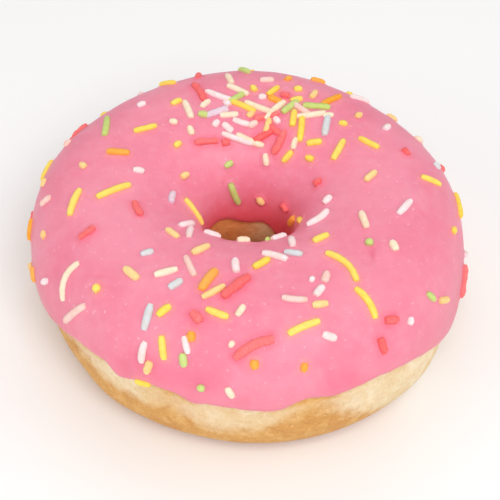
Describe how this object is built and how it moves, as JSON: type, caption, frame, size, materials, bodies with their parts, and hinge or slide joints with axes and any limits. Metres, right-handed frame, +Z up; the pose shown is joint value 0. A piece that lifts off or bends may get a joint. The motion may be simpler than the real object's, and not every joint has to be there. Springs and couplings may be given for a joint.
{
  "type": "sprinkle frosted doughnut",
  "caption": "Raised ring doughnut of browned dough with a smooth cap of pink icing over its top and into its hole, strewn with sugar strands.",
  "frame": {"origin": "centre of the ring, on the plane that the doughnut rests on", "axes": "+Z up along the axis of the hole; -Y is the front, the side whose bare dough shows most; +X to the right of the front"},
  "size_m": [0.0911, 0.0909, 0.0359],
  "materials": {
    "browned_crust": "matte",
    "pink_icing": "satin",
    "yellow_strand": "satin",
    "orange_strand": "satin",
    "peach_strand": "satin",
    "cream_strand": "satin",
    "white_strand": "satin",
    "red_strand": "satin",
    "green_strand": "satin",
    "lilac_strand": "satin",
    "blue_grey_strand": "satin"
  },
  "bodies": {
    "root": {"dough": "browned_crust", "icing": "pink_icing"}
  },
  "joints": []
}
